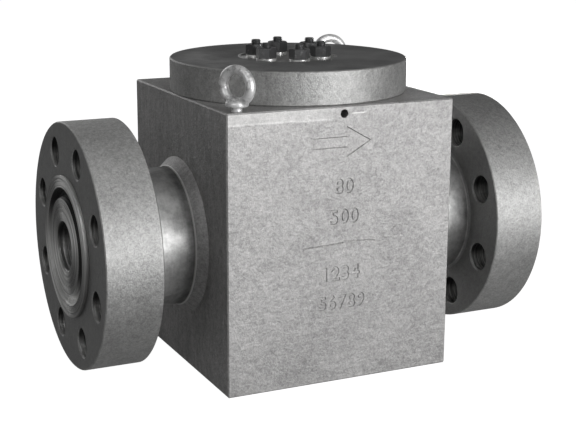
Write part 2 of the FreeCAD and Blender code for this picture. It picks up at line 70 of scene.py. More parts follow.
class Value:
    """A shader socket. Arithmetic on it adds Math nodes."""

    def __init__(self, tree, socket):
        self.tree = tree
        self.socket = socket

    def math(self, operation, *others):
        return self.tree.node("Math", {"operation": operation}, (self,) + others)

    def __add__(self, other):
        return self.math("ADD", other)

    def __sub__(self, other):
        return self.math("SUBTRACT", other)

    def __mul__(self, other):
        return self.math("MULTIPLY", other)

    def __truediv__(self, other):
        return self.math("DIVIDE", other)

    def __rsub__(self, other):
        return self.tree.node("Math", {"operation": "SUBTRACT"}, (other, self))

    __radd__ = __add__
    __rmul__ = __mul__

    def absolute(self):
        return self.math("ABSOLUTE")

    def sine(self):
        return self.math("SINE")

    def at_least(self, other):
        return self.math("MAXIMUM", other)

    def ramp(self, low, high):
        """0 below low, 1 above high and smooth between them; high may be the smaller one."""
        sockets = {"Value": self, "From Min": low, "From Max": high}
        return self.tree.node("MapRange", {"interpolation_type": "SMOOTHSTEP"}, sockets)

    def between(self, low, high, soft):
        """1 from low to high, with soft ends."""
        return self.ramp(low - soft, low) * self.ramp(high + soft, high)


class Tree:
    """A node tree with one call for every kind of node."""

    def __init__(self, owner):
        owner.use_nodes = True
        self.tree = owner.node_tree
        self.tree.nodes.clear()

    def node(self, kind, settings=None, sockets=(), output=0):
        """Adds a node, sets its settings, then its sockets from values or links, and gives one output."""
        made = self.tree.nodes.new("ShaderNode" + kind)
        for key, value in (settings or {}).items():
            setattr(made, key, value)
        pairs = sockets.items() if isinstance(sockets, dict) else enumerate(sockets)
        for key, value in pairs:
            socket = made.inputs[key]
            if isinstance(value, Value):
                self.tree.links.new(value.socket, socket)
            elif socket.type == "RGBA" and len(value) == 3:
                socket.default_value = tuple(value) + (1.0,)
            else:
                socket.default_value = value
        return Value(self, made.outputs[output]) if made.outputs else made

    def mix(self, factor, first, second):
        """Colour that goes from the first to the second."""
        sockets = {0: factor, 6: first, 7: second}
        return self.node("Mix", {"data_type": "RGBA", "clamp_factor": True}, sockets, 2)

    def shade(self, colour, amount):
        """Colour made lighter or darker by a factor."""
        return self.node("VectorMath", {"operation": "SCALE"}, {"Vector": colour, "Scale": amount})

    def position(self):
        """Object coordinates, in metres."""
        return self.node("TexCoord", output="Object")

    def split(self, vector):
        """A vector's three numbers."""
        return [self.node("SeparateXYZ", None, (vector,), axis) for axis in range(3)]

    def noise(self, vector, scale, detail, roughness):
        sockets = {"Vector": vector, "Scale": scale, "Detail": detail, "Roughness": roughness}
        return self.node("TexNoise", None, sockets)

    def stretched_noise(self, x, y, z, detail, roughness):
        """Noise whose cells differ in length along three coordinates."""
        return self.noise(self.node("CombineXYZ", None, (x, y, z)), 1.0, detail, roughness)

    def specks(self, vector, scale):
        """Distance to the nearest of many scattered points."""
        return self.node("TexVoronoi", {"feature": "F1"}, {"Vector": vector, "Scale": scale})


def axis_radius(first, second):
    """Distance from an axis, from two coordinates across it."""
    return (first * first + second * second).math("SQRT")


def near(coordinate, limit, width):
    """1 where a coordinate is at its limit on either side, 0 from the width inward."""
    return coordinate.absolute().ramp(limit - width, limit - width * 0.15)


def worn_edges(masks):
    """1 where two of the faces meet, from each face's nearness mask."""
    worn = None
    for index, first in enumerate(masks):
        for second in masks[index + 1:]:
            both = first * second
            worn = both if worn is None else worn.at_least(both)
    return worn


def finish(name, build):
    """Material from a function that gives colour, roughness, metallic and surface height in metres."""
    material = bpy.data.materials.new(name)
    tree = Tree(material)
    colour, roughness, metallic, height = build(tree)
    bump = tree.node("Bump", None, {"Height": height, "Strength": 1.0, "Distance": 1.0})
    sockets = {"Base Color": colour, "Roughness": roughness, "Metallic": metallic, "Normal": bump}
    shader = tree.node("BsdfPrincipled", None, sockets)
    tree.node("OutputMaterial", None, (shader,))
    return material


def blasted(tree, vector, base, fine=1.0):
    """Shot-blasted forging: fine bright and dark grains, soft stains, and a pitted height."""
    grain = tree.noise(vector, 430.0, 3.0, 0.75)
    blotch = tree.noise(vector, 150.0, 5.0, 0.75)
    stain = tree.noise(vector, 12.0, 4.0, 0.6)
    pits = tree.specks(vector, 420.0)
    grains = grain.ramp(0.32, 0.68) - 0.5
    clouds = blotch.ramp(0.34, 0.66) - 0.5
    level = 1.0 + grains * (0.38 * fine) + clouds * (0.26 * fine) + (stain - 0.5) * 0.55
    level = level - pits.ramp(0.16, 0.04) * 0.16 + tree.specks(vector, 260.0).ramp(0.14, 0.04) * 0.40
    colour = tree.shade(base, level)
    rough = 0.53 + (grain - 0.5) * 0.18 + (stain - 0.5) * 0.10
    height = (grain * 0.00025 + blotch * 0.00075 + pits.ramp(0.0, 0.35) * 0.00006) * fine
    return colour, rough, height


def block_finish(tree):
    """Blasted block with a milled band, planed end faces and a machined chamber."""
    vector = tree.position()
    x, y, z = tree.split(vector)
    colour, rough, height = blasted(tree, vector, (0.405, 0.40, 0.398))
    front = y.ramp(-BLOCK[1] + 0.0020, -BLOCK[1] + 0.0005)
    edges = worn_edges([near(x, BLOCK[0], 0.004), near(y, BLOCK[1], 0.004),
                        near(z - BLOCK[2] / 2, BLOCK[2] / 2, 0.004)])
    patchy = tree.noise(vector, 60.0, 3.0, 0.6).ramp(0.35, 0.6)
    colour = tree.mix(edges * patchy * 0.25, colour, (0.56, 0.56, 0.55))
    # Lightly milled band along the front face's upper edge
    wobble = tree.noise(vector, 40.0, 2.0, 0.5) * 0.004
    band = (z + wobble).ramp(0.3165, 0.3195) * x.ramp(0.0, -0.03) * front
    colour = tree.mix(band * 0.20, colour, (0.47, 0.47, 0.46))
    rough = rough - band * 0.02 - edges * 0.03
    height = height * (1.0 - band * 0.5)
    # A rubbed streak right of the vent
    streak = z.between(0.3205, 0.3215, 0.0006) * x.between(0.013, 0.024, 0.006) * front
    colour = tree.mix(streak * 0.7, colour, (0.70, 0.70, 0.69))
    # The end faces were planed downward and kept faint upright lines
    ends = near(x, BLOCK[0], 0.001)
    planed = tree.stretched_noise(x * 60.0, y * 150.0, z * 22.0, 4.0, 0.65)
    colour = tree.shade(colour, 1.0 + ends * (planed.ramp(0.3, 0.7) - 0.5) * 0.20)
    # Painted highlight: a bright line along the edge where each boss meets its weld
    flow_radius = axis_radius(y, z - FLOW_Z)
    weld_highlight = flow_radius.between(HUB_R + 0.0007, HUB_R + 0.0017, 0.0004)
    weld_highlight = weld_highlight * x.absolute().ramp(BOSS_FACE - 0.0017, BOSS_FACE - 0.0010)
    colour = tree.mix(weld_highlight * 0.8, colour, (0.85, 0.85, 0.84))
    # Chamber and bores are machined
    inside = axis_radius(x, y).ramp(SEAL_R + 0.0006, SEAL_R)
    inside = inside * z.ramp(CHAMBER_FLOOR - 0.0015, CHAMBER_FLOOR - 0.0005)
    inside = inside * z.ramp(BLOCK[2] - 0.0003, BLOCK[2] - 0.0010)
    colour = tree.mix(inside, colour, (0.36, 0.36, 0.36))
    height = height * (1.0 - inside * 0.9)
    return colour, rough - inside * 0.12, 0.75, height


# Turning marks on the flanges' faces and bores, and drilling marks in their bolt holes, per metre
RINGS, FINE_RINGS, DRILL_RINGS = 200.0, 900.0, 420.0


def turned_face(tree, y, up, radius, rings, groove):
    """Colour of a flange's turned face and of the groove in it, with painted sheen on the face and painted
    shade and light in the groove.
    """
    colour = tree.shade((0.56, 0.56, 0.55), 0.5 + rings * 0.7)
    # Painted sheen: the face is lighter in two wedges, where turned steel's highlight lies
    reach = radius.at_least(0.01)
    sheen_wedge = (up - y) * math.sqrt(0.5) / reach
    colour = tree.shade(colour, 0.45 + sheen_wedge * sheen_wedge * 1.25)
    # Painted shade in the groove's upper part and painted light below
    groove_light_and_shade = ((y * 0.6 - up) / reach).ramp(-0.30, 1.00)
    return tree.mix(groove, colour, tree.shade((0.80, 0.80, 0.79), 0.07 + groove_light_and_shade * 1.1))


def drilled_wall(tree, y, up, drill_rings):
    """Colour of the bolt holes' walls, with painted shade above and painted light below each hole's middle.
    """
    below = 0.0
    for hole in range(BOLT_HOLES):
        angle = math.radians(360.0 / BOLT_HOLES * (hole + 0.5))
        across, rise = y - BOLT_CIRCLE_R * math.cos(angle), up - BOLT_CIRCLE_R * math.sin(angle)
        here = axis_radius(across, rise).ramp(0.0195, 0.0187)
        # Painted light below each hole's middle
        below = below + here * rise.ramp(0.006, -0.012)
    colour = tree.shade((0.66, 0.66, 0.65), 0.3 + drill_rings.ramp(0.3, 0.7) * 0.9)
    return tree.shade(colour, 0.15 + below)


def flange_finish(tree):
    """Blasted flange with a turned hub, raised face, groove and port, and drilled holes."""
    vector = tree.position()
    x, y, z = tree.split(vector)
    up = z - FLOW_Z
    radius = axis_radius(y, up)
    along = x.absolute()
    colour, rough, height = blasted(tree, vector, (0.42, 0.42, 0.415), 0.9)
    streaks = tree.stretched_noise(along * 420.0, y * 30.0, up * 30.0, 2.0, 0.5)
    # Turned hub, rubbed in patches and faintly streaked round, with painted shadow next to the boss and a
    # painted highlight line at the weld
    slim = radius.ramp(HUB_R + 0.0015, HUB_R + 0.0007)
    hub = along.ramp(FLANGE_BACK + 0.0006, FLANGE_BACK - 0.0006) * slim
    clouds = tree.noise(vector, 38.0, 5.0, 0.7).ramp(0.32, 0.68)
    hub_colour = tree.shade((0.53, 0.53, 0.525), 0.62 + clouds * 0.5 + (streaks - 0.5) * 0.2)
    # Painted shadow: the hub darkens toward the boss
    hub_colour = tree.shade(hub_colour, 1.0 - along.ramp(BOSS_FACE + 0.015, BOSS_FACE + 0.004) * 0.45)
    colour = tree.mix(hub, colour, hub_colour)
    # Painted highlight: a bright line at the weld
    weld_highlight = along.between(BOSS_FACE - 0.0004, BOSS_FACE + 0.0004, 0.0004) * slim
    colour = tree.mix(weld_highlight * 0.8, colour, (0.80, 0.80, 0.78))
    # Raised face, groove and port are cut smooth, with fine rings
    cut = along.ramp(FLANGE_BASE + 0.0002, FLANGE_BASE + 0.0006)
    groove = radius.between(GROOVE_R - 0.0065, GROOVE_R + 0.0065, 0.0004)
    groove = groove * along.ramp(FLANGE_FACE - 0.0085, FLANGE_FACE - 0.0080)
    port = radius.ramp(PORT_R + 0.0008, PORT_R + 0.0004)
    smooth = cut.at_least(groove).at_least(port)
    travel = radius + along
    rings = tree.stretched_noise(travel * RINGS, y * 9.0, up * 9.0, 3.0, 0.6)
    fine_rings = tree.stretched_noise(travel * FINE_RINGS, 0.0, 0.0, 1.0, 0.5)
    clear_rings = rings.ramp(0.3, 0.7)
    colour = tree.mix(smooth, colour, turned_face(tree, y, up, radius, clear_rings, groove))
    # Painted light in the port: dark above its middle and bright below
    port_light = up.ramp(0.014, -0.012) * 1.05 + 0.10
    port_colour = tree.shade((0.78, 0.78, 0.77), (0.7 + clear_rings * 0.5) * port_light)
    colour = tree.mix(port, colour, port_colour)
    # Drilled bolt holes keep the drill's rings
    drilled = along.between(FLANGE_BACK + 0.0020, FLANGE_BASE - 0.0020, 0.0006)
    drilled = drilled * radius.ramp(FLANGE_R - 0.002, FLANGE_R - 0.004) * (1.0 - smooth)
    drill_rings = tree.stretched_noise(along * DRILL_RINGS, y * 20.0, up * 20.0, 3.0, 0.6)
    colour = tree.mix(drilled, colour, drilled_wall(tree, y, up, drill_rings))
    # The rims' faces are dark from handling and oil
    outer_face = along.ramp(FLANGE_BASE - 0.0006, FLANGE_BASE - 0.0002)
    back_face = along.ramp(FLANGE_BACK + 0.0006, FLANGE_BACK + 0.0002) * (1.0 - hub)
    faces = outer_face.at_least(back_face) * (1.0 - smooth)
    faces = faces * radius.ramp(FLANGE_R - 0.0006, FLANGE_R - 0.0014)
    colour = tree.mix(faces * 0.55, colour, (0.20, 0.20, 0.20))
    rim_ends = along.ramp(FLANGE_BASE - 0.003, FLANGE_BASE - 0.0005)
    rim_ends = rim_ends.at_least(along.ramp(FLANGE_BACK + 0.003, FLANGE_BACK + 0.0005))
    edges = near(radius, FLANGE_R, 0.003) * rim_ends
    patchy = tree.noise(vector, 70.0, 3.0, 0.6).ramp(0.35, 0.6)
    colour = tree.mix(edges * patchy * 0.5, colour, (0.55, 0.55, 0.54))
    # Painted light on top of the inlet flange's rim, and painted shade on top of the outlet flange's
    crest_light_and_shade = radius.ramp(FLANGE_R - 0.0012, FLANGE_R - 0.0006) * up.ramp(0.085, 0.130)
    colour = tree.shade(colour, 1.0 + crest_light_and_shade * (x.ramp(0.05, -0.05) * 0.50 - 0.24))
    rough = rough - hub * clouds * 0.05 - smooth * 0.12 - drilled * 0.10
    metal = 0.75 + smooth * 0.20 + hub * 0.1
    height = height * (1.0 - hub * 0.6) * (1.0 - smooth * 0.9) + hub * streaks * 0.00008
    height = height + smooth * (rings * 0.0012 + fine_rings * (1.0 - port * 0.85) * 0.0034)
    height = height + drilled * drill_rings * 0.0014
    return colour, rough, metal, height


def cover_finish(tree):
    """Blasted rim, darker turned top with painted light at its left, and a recess whose left rim and floor
    are bright metal with a painted highlight.
    """
    vector = tree.position()
    x, y, z = tree.split(vector)
    radius = axis_radius(x, y)
    colour, rough, height = blasted(tree, vector, (0.42, 0.42, 0.415), 0.9)
    top = z.ramp(COVER_TOP - 0.0025, COVER_TOP - 0.0005) * radius.ramp(COVER_R - 0.0006, COVER_R - 0.0016)
    clouds = tree.noise(vector, 16.0, 4.0, 0.6)
    rings = (radius * 5200.0 + clouds * 6.0).sine() * 0.5 + 0.5
    top_colour = tree.shade((0.22, 0.22, 0.22), 0.72 + clouds.ramp(0.3, 0.7) * 0.5 + (rings - 0.5) * 0.08)
    # Painted light: the left of the top, away from the nuts, is paler in patches
    rubbed = x.ramp(-0.055, -0.10) * tree.noise(vector, 22.0, 3.0, 0.6).ramp(0.42, 0.62)
    top_colour = tree.shade(top_colour, 1.0 + rubbed * 0.5)
    colour = tree.mix(top, colour, top_colour)
    # Painted highlight, on bare metal: the rim and floor at the recess's left, as seen from the camera's
    # side, are painted bright
    cos, sin = math.cos(CAMERA_YAW), math.sin(CAMERA_YAW)
    left, ahead = x * cos - y * sin, x * sin + y * cos
    bare_and_highlight = radius.between(RECESS_R, RECESS_R + 0.0014, 0.0004) * left.ramp(-0.0510, -0.0560) * top
    colour = tree.mix(bare_and_highlight, colour, (0.95, 0.95, 0.94))
    recess = radius.ramp(RECESS_R + 0.0006, RECESS_R + 0.0001)
    recess = recess * z.ramp(RECESS_FLOOR - 0.0010, RECESS_FLOOR - 0.0005)
    colour = tree.mix(recess * 0.7, colour, tree.shade((0.30, 0.30, 0.29), 0.8 + clouds * 0.4))
    # Painted highlight on the recess floor's left, as seen from the camera's side, where the metal is also
    # bare
    skimmed_and_highlight = recess * left.ramp(-0.0480, -0.0500) * ahead.between(-0.020, 0.014, 0.004)
    colour = tree.mix(skimmed_and_highlight, colour, (0.95, 0.95, 0.94))
    edges = near(radius, COVER_R, 0.003) * near(z - COVER_MIDDLE, COVER_TOP - COVER_MIDDLE, 0.003)
    patchy = tree.noise(vector, 70.0, 3.0, 0.6).ramp(0.35, 0.6)
    colour = tree.mix(edges * patchy * 0.5, colour, (0.55, 0.55, 0.54))
    rough = rough - top * 0.04 - recess * 0.14 + bare_and_highlight * 0.1
    height = height * (1.0 - top * 0.55) + top * rings * 0.000012
    return colour, rough, 0.75 + bare_and_highlight.at_least(skimmed_and_highlight) * 0.15, height


def black_steel(tree):
    """Blackened and oiled, worn grey in patches."""
    vector = tree.position()
    grain = tree.noise(vector, 900.0, 3.0, 0.6)
    patches = tree.noise(vector, 180.0, 3.0, 0.6)
    worn = patches.ramp(0.56, 0.70)
    colour = tree.mix(worn * 0.6, (0.165, 0.166, 0.168), (0.36, 0.36, 0.36))
    colour = tree.shade(colour, 0.6 + grain * 0.8)
    return colour, 0.34 + (grain - 0.5) * 0.3 + worn * 0.1, 0.85, grain * 0.00010 + patches * 0.00020


def plated_steel(tree):
    """Bright zinc on a forged surface, dulled in patches."""
    vector = tree.position()
    grain = tree.noise(vector, 800.0, 3.0, 0.6)
    patches = tree.noise(vector, 120.0, 4.0, 0.65)
    dull = patches.ramp(0.45, 0.65)
    colour = tree.mix(dull * 0.75, (0.97, 0.97, 0.97), (0.36, 0.36, 0.36))
    colour = tree.shade(colour, 0.80 + grain * 0.35)
    return colour, 0.38 + dull * 0.08 + (grain - 0.5) * 0.15, 0.55, grain * 0.00012 + patches * 0.00040


def bright_washer(tree):
    """Zinc-plated stamped washer, smooth enough to mirror a lamp."""
    vector = tree.position()
    grain = tree.noise(vector, 700.0, 2.0, 0.5)
    stain = tree.noise(vector, 140.0, 3.0, 0.6)
    colour = tree.shade((0.92, 0.92, 0.91), 0.75 + stain * 0.3 + grain * 0.15)
    return colour, 0.22 + stain * 0.12, 0.7, grain * 0.00002 + stain * 0.00005


def turned_steel(base, roughness, metallic, upright):
    """Lathe-turned surface with fine rings about the vertical or the flow axis."""
    def build(tree):
        vector = tree.position()
        x, y, z = tree.split(vector)
        radius = axis_radius(x, y) if upright else axis_radius(y, z - FLOW_Z)
        along = z if upright else x
        clouds = tree.noise(vector, 60.0, 3.0, 0.6)
        grain = tree.noise(vector, 900.0, 2.0, 0.5)
        rings = ((radius + along) * 7000.0).sine() * 0.5 + 0.5
        tint = tree.stretched_noise((radius + along) * 900.0, 0.0, 0.0, 2.0, 0.6)
        colour = tree.shade(base, 0.78 + clouds * 0.2 + tint * 0.25)
        rough = roughness + (tint - 0.5) * 0.16 + (clouds - 0.5) * 0.1
        return colour, rough, metallic, rings * 0.000012 + grain * 0.00002
    return build


def cast_stainless(tree):
    """Investment-cast and tumbled stainless steel, fine matt grain with rubbed high spots."""
    vector = tree.position()
    grain = tree.noise(vector, 1100.0, 3.0, 0.6)
    patches = tree.noise(vector, 90.0, 4.0, 0.6)
    rubbed = patches.ramp(0.5, 0.68)
    colour = tree.mix(rubbed * 0.5, (0.44, 0.44, 0.43), (0.60, 0.60, 0.59))
    colour = tree.shade(colour, 0.85 + grain * 0.3)
    return colour, 0.44 - rubbed * 0.12 + (grain - 0.5) * 0.2, 0.8, grain * 0.00012 + patches * 0.00012


def graphite(tree):
    """Pressed graphite foil: layered, dark and slightly greasy."""
    vector = tree.position()
    z = tree.split(vector)[2]
    grain = tree.noise(vector, 1300.0, 3.0, 0.6)
    layers = (z * 9000.0 + grain * 2.0).sine() * 0.5 + 0.5
    colour = tree.shade((0.07, 0.07, 0.075), 0.75 + grain * 0.35 + layers * 0.15)
    return colour, 0.38 + grain * 0.2, 0.25, layers * 0.00003 + grain * 0.00006


block_steel = finish("blasted_block_steel", block_finish)
flange_steel = finish("blasted_flange_steel", flange_finish)
cover_steel = finish("blasted_cover_steel", cover_finish)
nut_black = finish("blackened_steel", black_steel)
zinc = finish("zinc_plated_steel", plated_steel)
washer_zinc = finish("zinc_plated_washer", bright_washer)
bonnet_steel = finish("turned_bonnet_steel", turned_steel((0.42, 0.42, 0.41), 0.34, 0.7, True))
ring_stainless = finish("turned_ring_stainless", turned_steel((0.52, 0.52, 0.51), 0.30, 0.85, True))
seat_facing = finish("lapped_seat_facing", turned_steel((0.58, 0.58, 0.56), 0.20, 0.9, False))
disc_stainless = finish("turned_disc_stainless", turned_steel((0.52, 0.52, 0.51), 0.28, 0.85, False))
arm_stainless = finish("cast_arm_stainless", cast_stainless)
gasket_graphite = finish("pressed_graphite", graphite)

node_finishes = {
    "inlet_flange": flange_steel, "outlet_flange": flange_steel, "cover_plate": cover_steel,
    "bonnet": bonnet_steel, "seal_gasket": gasket_graphite, "spacer_ring": ring_stainless,
    "thrust_segment_1": bonnet_steel, "thrust_segment_2": bonnet_steel,
    "thrust_segment_3": bonnet_steel, "thrust_segment_4": bonnet_steel,
    "stud_washers": washer_zinc, "stud_nuts": nut_black, "seat_ring": seat_facing, "disc": disc_stainless,
    "disc_washer": disc_stainless, "disc_nut": arm_stainless, "stem_split_pin": arm_stainless,
    "swing_arm": arm_stainless, "hinge_bracket": arm_stainless, "bracket_screws": arm_stainless,
    "hinge_pin": disc_stainless, "hinge_split_pin": arm_stainless,
}
for name, material in node_finishes.items():
    nodes[name].data.materials.clear()
    nodes[name].data.materials.append(material)


# Mesh building

def added(name, data):
    """A new object in the scene."""
    item = bpy.data.objects.new(name, data)
    bpy.context.scene.collection.objects.link(item)
    return item


def place(name, mesh, body, material):
    """Puts a mesh in the scene as a piece that rides on a body."""
    piece = added(name, mesh)
    mesh.materials.clear()
    mesh.materials.append(material)
    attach(piece, body)
    return piece


def grid_faces(rows, columns, wrap):
    """Four corners of every cell of a grid whose columns may close on themselves."""
    across = np.arange(columns if wrap else columns - 1)
    row, column = np.meshgrid(np.arange(rows - 1), across, indexing="ij")
    here = row * columns + column
    beside = row * columns + (column + 1) % columns
    return np.stack([here, beside, beside + columns, here + columns], axis=-1).reshape(-1, 4)


def joined_grids(name, grids):
    """One mesh from (points, faces) pairs."""
    points, faces, start = [], [], 0
    for grid_points, cells in grids:
        points.append(grid_points.reshape(-1, 3))
        faces += [tuple(int(i) for i in cell) for cell in cells + start]
        start += len(points[-1])
    mesh = bpy.data.meshes.new(name)
    mesh.from_pydata(np.concatenate(points).tolist(), [], faces)
    mesh.validate()
    return mesh


def merged_copy(node):
    """Copy of a node's mesh with its loose triangles joined at their corners, and plain normals."""
    same_place = 0.000005
    source = nodes[node].data
    source.calc_loop_triangles()
    points = np.empty(len(source.vertices) * 3, np.float32)
    source.vertices.foreach_get("co", points)
    corners = np.empty(len(source.loop_triangles) * 3, np.int32)
    source.loop_triangles.foreach_get("vertices", corners)
    keys = np.round(points.reshape(-1, 3) / same_place).astype(np.int64)
    unique, first, joined = np.unique(keys, axis=0, return_index=True, return_inverse=True)
    triangles = joined.reshape(-1)[corners].reshape(-1, 3)
    whole = (triangles != np.roll(triangles, 1, axis=1)).all(axis=1)
    mesh = bpy.data.meshes.new(node + "_copy")
    mesh.from_pydata(points.reshape(-1, 3)[first].tolist(), [], triangles[whole].tolist())
    return mesh


def evaluated(item):
    """Mesh of an object with its modifiers applied. The object itself is removed."""
    graph = bpy.context.evaluated_depsgraph_get()
    mesh = bpy.data.meshes.new_from_object(item.evaluated_get(graph))
    bpy.data.objects.remove(item)
    return mesh


def smooth_by_angle(mesh, degrees):
    """Shades smooth, with sharp edges where faces meet at more than the angle."""
    mesh.shade_smooth()
    mesh.set_sharp_from_angle(angle=math.radians(degrees))


# Threads of the studs and of the front eye bolt

def thread(centre, radius, pitch, bottom, top, chamfer, plain_from):
    """Screw thread: the radius falls by a triangle wave of height along the axis minus turn times
    pitch, and leans in over the chamfer at both ends; below plain_from it is a plain bar, and caps
    close the ends."""
    steps, around = int((top - plain_from) / pitch * 8) + 1, 40
    height = np.concatenate([[bottom, bottom + chamfer], np.linspace(plain_from, top, steps)])[:, None]
    turn = np.arange(around)[None, :] / around
    phase = (height / pitch - turn) % 1.0
    depth = 0.54 * pitch
    wave = np.clip(1.25 * np.abs(2 * phase - 1) - 0.125, 0, 1)
    threaded = np.clip((height - plain_from) / pitch, 0, 1)
    r = radius - depth * wave * threaded
    ends = radius - chamfer + np.minimum(top - height, height - bottom)
    r = np.minimum(r, ends)
    x = centre[0] + r * np.cos(2 * math.pi * turn)
    y = centre[1] + r * np.sin(2 * math.pi * turn)
    side = np.stack([x, y, height + 0 * turn], axis=-1)
    first = np.array([[[centre[0], centre[1], bottom]]]).repeat(around, axis=1)
    last = np.array([[[centre[0], centre[1], top]]]).repeat(around, axis=1)
    points = np.concatenate([first, side, last], axis=0)
    return points, grid_faces(steps + 4, around, True)


def closed(mesh):
    """Merges the points of caps that lie on one spot, and turns all faces outward."""
    work = bmesh.new()
    work.from_mesh(mesh)
    bmesh.ops.remove_doubles(work, verts=work.verts, dist=0.000002)
    bmesh.ops.recalc_face_normals(work, faces=work.faces)
    work.to_mesh(mesh)
    work.free()
    return mesh


def stud_threads():
    """Studs from the node's lowest to its highest point, threaded from just under the recess's floor."""
    low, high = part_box("bonnet_studs")
    threaded_from = RECESS_FLOOR - 0.001
    threads = []
    for turn in range(STUD_COUNT):
        angle = math.radians(STUD_PHASE + 360.0 / STUD_COUNT * turn)
        centre = (STUD_CIRCLE_R * math.cos(angle), STUD_CIRCLE_R * math.sin(angle))
        threads.append(thread(centre, STUD_R, THREAD_PITCH, low[2], high[2], STUD_CHAMFER, threaded_from))
    return threads


studs = place("threaded_bonnet_studs", closed(joined_grids("threaded_bonnet_studs", stud_threads())),
              "valve_body", nut_black)
smooth_by_angle(studs.data, 35)
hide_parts("bonnet_studs")


# Marks on the front face: plain numbers and a flow arrow, stamped in, and a scribed line
STAMP_DEPTH, NUMBER_HEIGHT = 0.0010, 0.018
# Text, middle across, middle height and lean of each number
NUMBERS = (("80", 0.001, 0.237, 0.0), ("500", 0.002, 0.201, 0.01),
           ("1234", 0.000, 0.133, 0.01), ("56789", 0.000, 0.098, 0.0))
# Cells of the front face round the marks, and the stretches across and upward that they cover
CELL, CELLS_ACROSS, CELLS_UP = 0.004, (-0.052, 0.052), (0.083, 0.311)


def outline_cutter(curve):
    """Fills a flat outline and gives it walls that lean in by as much as they go down."""
    curve.dimensions = "2D"
    curve.fill_mode = "BOTH"
    curve.extrude = 0.0002
    curve.bevel_depth = STAMP_DEPTH
    curve.bevel_resolution = 0
    return evaluated(added("outline", curve))


def on_front(mesh, middle_x, middle_z, height=None, lean=0.0):
    """Scales a flat mesh to a height if one is given, centres, leans and stands it on the front face."""
    points = np.empty(len(mesh.vertices) * 3, np.float32)
    mesh.vertices.foreach_get("co", points)
    points = points.reshape(-1, 3)
    low, high = points.min(axis=0), points.max(axis=0)
    scale = height / (high[1] - low[1]) if height else 1.0
    flat = (points[:, :2] - (low[:2] + high[:2]) / 2) * scale
    cos, sin = math.cos(lean), math.sin(lean)
    across = flat[:, 0] * cos - flat[:, 1] * sin
    up = flat[:, 0] * sin + flat[:, 1] * cos
    stood = np.stack([middle_x + across, -BLOCK[1] - points[:, 2], middle_z + up], axis=1)
    mesh.vertices.foreach_set("co", stood.astype(np.float32).ravel())
    mesh.update()
    return closed(mesh)


def number_cutter(text, middle_x, middle_z, lean):
    """Stamp of a plain number."""
    curve = bpy.data.curves.new("number", "FONT")
    curve.body = text
    # Digits are about 0.7 of the font's size high
    curve.size = NUMBER_HEIGHT / 0.70
    curve.space_character = 1.12
    curve.resolution_u = 5
    return on_front(outline_cutter(curve), middle_x, middle_z, NUMBER_HEIGHT, lean)


def arrow_cutter(middle_x, middle_z, length, height):
    """Arrow outline: a shaft a third as high as its head, which takes up four tenths of the length."""
    neck, half, shaft = length * 0.6, height / 2, height / 6
    lower = [(0, -shaft), (neck, -shaft), (neck, -half)]
    outline = lower + [(length, 0)] + [(x, -y) for x, y in reversed(lower)]
    curve = bpy.data.curves.new("arrow", "CURVE")
    spline = curve.splines.new("POLY")
    spline.points.add(len(outline) - 1)
    spline.points.foreach_set("co", np.array([(x, y, 0, 1) for x, y in outline], np.float32).ravel())
    spline.use_cyclic_u = True
    return on_front(outline_cutter(curve), middle_x, middle_z)


def scribed_cutter(points, width):
    """Round bar along a line on the front face, sunk by a little under half."""
    curve = bpy.data.curves.new("scribed", "CURVE")
    curve.dimensions = "3D"
    curve.bevel_depth = width / 2
    curve.bevel_resolution = 1
    curve.use_fill_caps = True
    spline = curve.splines.new("POLY")
    spline.points.add(len(points) - 1)
    flat = [(x, -BLOCK[1] - width * 0.1, z, 1) for x, z in points]
    spline.points.foreach_set("co", np.array(flat, np.float32).ravel())
    return closed(evaluated(added("scribed", curve)))


def ruled_front(mesh):
    """Divides the front face round the marks into small cells, so that each stamp's cut stays simple."""
    work = bmesh.new()
    work.from_mesh(mesh)
    lines = [((x, 0, 0), (1, 0, 0)) for x in np.arange(CELLS_ACROSS[0], CELLS_ACROSS[1] + 0.0001, CELL)]
    lines += [((0, 0, z), (0, 0, 1)) for z in np.arange(CELLS_UP[0], CELLS_UP[1] + 0.0001, CELL)]
    for place_on, across in lines:
        front = [face for face in work.faces if face.normal.y < -0.999
                 and face.calc_center_median().y < -BLOCK[1] + 0.00001]
        touched = front + list({edge for face in front for edge in face.edges})
        bmesh.ops.bisect_plane(work, geom=touched, dist=0.0000005, plane_co=place_on, plane_no=across)
    work.to_mesh(mesh)
    work.free()
    return mesh


def cut_out(mesh, cutters):
    """Takes the cutters away from a mesh, one after another."""
    holder = added("cutting", mesh)
    tools = [added("cutter", cutter) for cutter in cutters]
    for tool in tools:
        cut = holder.modifiers.new("cut", "BOOLEAN")
        cut.operation = "DIFFERENCE"
        cut.solver = "MANIFOLD"
        cut.object = tool
    result = evaluated(holder)
    for tool in tools:
        bpy.data.objects.remove(tool)
    return result


marks = [arrow_cutter(-0.002, 0.2885, 0.072, 0.033)]
marks += [number_cutter(*number) for number in NUMBERS]
marks += [scribed_cutter([(-0.049, 0.1672), (-0.030, 0.1676), (0.001, 0.1690)], 0.0024),
          scribed_cutter([(0.002, 0.1706), (0.020, 0.1702), (0.042, 0.1683)], 0.0020)]
block_mesh = cut_out(ruled_front(merged_copy("body_block")), marks)
smooth_by_angle(block_mesh, 30)
block = place("stamped_body_block", block_mesh, "valve_body", block_steel)
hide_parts("body_block")


# Lifting eyes, forged in one piece with soft transitions
SHANK_THREAD_R = 0.0062
# Height below each eye's top from which it is flattened
FLATTENED = 0.048
# Node, name, threaded shank that stands above the block, and share of the height that is kept
EYES = (("eye_bolt_front", "lifting_eye_front", 0.0056, 0.925),
        ("eye_bolt_rear", "lifting_eye_rear", 0.0, 0.96))


